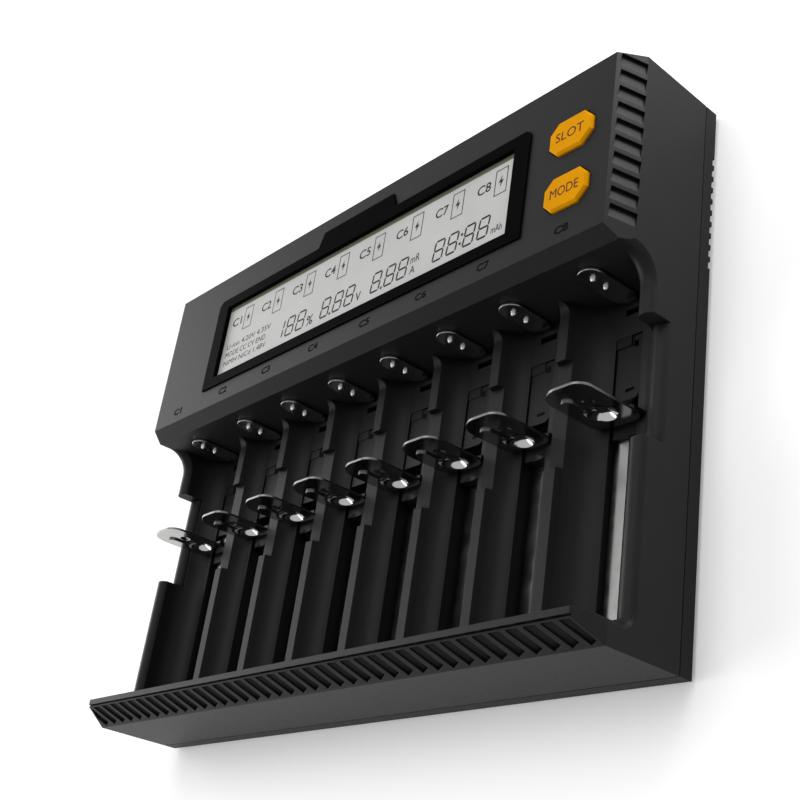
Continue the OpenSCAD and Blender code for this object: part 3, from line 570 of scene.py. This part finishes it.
def add_bay_marks():
    data = bmesh.new()
    for number, x in bay_x.items():
        middle = x / MM
        box = (middle - MARK_HALF, MARK_Y0, middle + MARK_HALF, MARK_Y1)
        add_words(data, f"C{number}", box, shell_high.z - PRINT_SINK, MARK_T, MARK_WEIGHT)
    add_piece("bay_marks", data, ink_and_hole_shade, "housing")


def add_button_word(node, words, body):
    low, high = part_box(node)
    x = (low.x + high.x) / 2 / MM
    y = ((low.y + high.y) / 2 - shell_low.y) / MM
    box = (x - WORD_HALF_W, y - WORD_HALF_H, x + WORD_HALF_W, y + WORD_HALF_H)
    data = bmesh.new()
    add_words(data, words, box, high.z - PRINT_SINK, WORD_T)
    add_piece(f"{node}_word", data, orange_ink, body)


# Upper faces of the inner bays' slot covers, nearly flush with the floors, with a raised strip and two small
# dark patches each, painted shade standing in for two small openings; X is from the bay's middle
INNER_BAYS = range(2, 8)
LID_HALF = 3.85
LID_Y0, LID_Y1 = 66.6, 83.6
LID_R = 2.0
LID_CORNER_STEPS = 6
LID_TOP = 11.1 * MM
LID_T = 0.8 * MM
LID_STRIP = (-LID_HALF, 81.0, 0.8, LID_Y1)
LID_STRIP_T = 0.3 * MM
LID_HOLE_SHADES = [(1.2, 80.6, 2.6, 82.2), (-0.6, 68.8, 2.0, 69.6)]


def add_slot_lids():
    plates, hole_shades = bmesh.new(), bmesh.new()
    turns = [math.radians(90 * k / LID_CORNER_STEPS - 90) for k in range(LID_CORNER_STEPS + 1)]
    corner = [
        (LID_HALF - LID_R + LID_R * math.cos(turn), LID_Y0 + LID_R + LID_R * math.sin(turn))
        for turn in turns
    ]
    outline = [(-LID_HALF, LID_Y0), *corner, (LID_HALF, LID_Y1), (-LID_HALF, LID_Y1)]
    for number in INNER_BAYS:
        x = bay_x[number] / MM
        add_prism(plates, [(x + px, py) for px, py in outline], LID_TOP - LID_T, LID_TOP)
        x0, y0, x1, y1 = LID_STRIP
        add_bar(plates, x + x0, y0, x + x1, y1, LID_TOP, LID_TOP + LID_STRIP_T)
        # Painted shade: flat black patches where the openings would show their dark inside
        for x0, y0, x1, y1 in LID_HOLE_SHADES:
            add_bar(hole_shades, x + x0, y0, x + x1, y1, LID_TOP, LID_TOP + INK_T)
    add_piece("slot_lids", plates, carriage_plastic, "housing")
    add_piece("slot_lid_hole_shades", hole_shades, ink_and_hole_shade, "housing")


# Return springs: wound wire in place of the stacked rings
SPRING_TURNS = 17
STEPS_PER_TURN = 18
WIRE_SIDES = 6
WIRE_R = 0.27 * MM


def add_spring(number):
    low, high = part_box(f"spring_{number}")
    middle = (low + high) / 2
    radius = (high.x - low.x) / 2 - WIRE_R
    length = high.y - low.y - 2 * WIRE_R
    steps = SPRING_TURNS * STEPS_PER_TURN
    data = bmesh.new()
    rings = []
    for k in range(steps + 1):
        angle = math.tau * SPRING_TURNS * k / steps
        y = low.y + WIRE_R + length * k / steps
        ring = []
        for side in range(WIRE_SIDES):
            about = math.tau * side / WIRE_SIDES
            reach = radius + WIRE_R * math.cos(about)
            ring.append(data.verts.new((
                middle.x + reach * math.cos(angle),
                y + WIRE_R * math.sin(about),
                middle.z + reach * math.sin(angle),
            )))
        rings.append(ring)
    for ring, following in zip(rings, rings[1:]):
        for side in range(WIRE_SIDES):
            after = (side + 1) % WIRE_SIDES
            data.faces.new((ring[side], ring[after], following[after], following[side]))
    data.faces.new(rings[0])
    data.faces.new(rings[-1][::-1])
    bmesh.ops.recalc_face_normals(data, faces=data.faces)
    for face in data.faces:
        face.smooth = True
    piece = add_piece(f"wound_spring_{number}", data, spring_steel, None)
    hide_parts(f"spring_{number}")
    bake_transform(piece)


add_screen_art()
add_screen_band()
add_bay_marks()
add_slot_lids()
add_button_word("button_slot", "SLOT", "slot_button")
add_button_word("button_mode", "MODE", "mode_button")
for i in bay_numbers:
    add_spring(i)


# Lamps: soft suns, each given by where it stands and how wide it is, in degrees, and by its share of the
# light on a level surface
SUNS = {
    "key_left": {"azimuth": 178.0, "elevation": 18.0, "spread": 58.0, "share": 0.23},
    "back_above": {"azimuth": 95.0, "elevation": 68.0, "spread": 50.0, "share": 0.33},
}
WORLD_AMBIENT = 0.42


def add_lamp(lamp, place, toward):
    """A lamp at a place, which shines along a direction"""
    obj = bpy.data.objects.new(lamp.name, lamp)
    obj.location = place
    obj.rotation_euler = toward.to_track_quat("-Z", "Y").to_euler()
    bpy.context.scene.collection.objects.link(obj)
    return obj


def add_sun(name, azimuth, elevation, spread, share):
    turn, rise = math.radians(azimuth), math.radians(elevation)
    place = Vector((math.cos(turn) * math.cos(rise), math.sin(turn) * math.cos(rise), math.sin(rise)))
    lamp = bpy.data.lights.new(name, "SUN")
    lamp.angle = math.radians(spread)
    lamp.energy = math.pi * share / math.sin(rise)
    add_lamp(lamp, place, -place)


def add_softbox(name, place, aim, side, power):
    """A square lamp near the object, which the camera doesn't see"""
    lamp = bpy.data.lights.new(name, "AREA")
    lamp.size = side
    lamp.energy = power
    add_lamp(lamp, place, Vector(aim) - Vector(place)).visible_camera = False


for sun_name, sun_place in SUNS.items():
    add_sun(sun_name, **sun_place)
add_softbox("side_right", place=(0.19, 0.17, 0.035), aim=(0.10, 0.06, 0.015), side=0.08, power=0.25)


# Stage
FLOOR_HALF = 6.0
FLOOR_COLOUR = 0.95
OPEN_FLOOR = 1.10


def seen_directly(nodes, links):
    """1 for camera rays and for the rays that mirrors and glass send on, 0 for diffuse light"""
    path = nodes.new("ShaderNodeLightPath")
    seen = path.outputs["Is Camera Ray"]
    for ray in ("Is Glossy Ray", "Is Transmission Ray"):
        seen = scalar_math(nodes, links, "MAXIMUM", seen, path.outputs[ray])
    return seen


def pale_floor():
    """Lit by the lamps, with a glow on top that brings its open part to white"""
    material, nodes, links, shader = blank_material("pale_floor")
    shader.inputs["Roughness"].default_value = 0.9
    shader.inputs["Specular IOR Level"].default_value = 0.0
    grain = noise(nodes, links, FLOOR_GRAIN_SCALE, detail=2.0)
    dark, light = (FLOOR_COLOUR * 0.99,) * 3, (FLOOR_COLOUR * 1.01,) * 3
    links.new(tint(nodes, links, grain, dark, light), shader.inputs["Base Color"])
    open_light = WORLD_AMBIENT + sum(place["share"] for place in SUNS.values())
    missing = OPEN_FLOOR - FLOOR_COLOUR * open_light
    glow = nodes.new("ShaderNodeEmission")
    seen = seen_directly(nodes, links)
    links.new(scalar_math(nodes, links, "MULTIPLY", seen, missing), glow.inputs["Strength"])
    add = nodes.new("ShaderNodeAddShader")
    links.new(shader.outputs["BSDF"], add.inputs[0])
    links.new(glow.outputs["Emission"], add.inputs[1])
    links.new(add.outputs["Shader"], nodes["Material Output"].inputs["Surface"])
    return material


floor_mesh = bpy.data.meshes.new("floor")
floor_mesh.from_pydata(
    [(x * FLOOR_HALF, y * FLOOR_HALF, 0) for x, y in ((-1, -1), (1, -1), (1, 1), (-1, 1))],
    [],
    [(0, 1, 2, 3)],
)
floor = bpy.data.objects.new("floor", floor_mesh)
bpy.context.scene.collection.objects.link(floor)
floor_mesh.materials.append(pale_floor())


def studio_world():
    """Even pale surroundings, white where they are seen and softer as light"""
    world = bpy.data.worlds.new("studio")
    world.use_nodes = True
    nodes, links = world.node_tree.nodes, world.node_tree.links
    background = nodes["Background"]
    feed(links, background.inputs["Color"], (1.0, 1.0, 1.0))
    level = spread(nodes, links, seen_directly(nodes, links), WORLD_AMBIENT, 1.0, 0.0, 1.0)
    links.new(level, background.inputs["Strength"])
    bpy.context.scene.world = world


studio_world()

# Camera at the photograph's place, with its turns in degrees and its lens in millimetres
CAMERA_PLACE = (0.27906, -0.15109, 0.21682)
CAMERA_TURN = (35.2431, 49.0258, 12.0813)
CAMERA_LENS = 60.42
CAMERA_SENSOR = 36.0
camera_data = bpy.data.cameras.new("camera")
camera_data.sensor_width = CAMERA_SENSOR
camera_data.lens = CAMERA_LENS
camera_data.clip_start = 0.01
camera = bpy.data.objects.new("camera", camera_data)
camera.location = CAMERA_PLACE
camera.rotation_euler = Euler([math.radians(angle) for angle in CAMERA_TURN])
bpy.context.scene.collection.objects.link(camera)
bpy.context.scene.camera = camera
bpy.context.scene.view_settings.view_transform = "Standard"
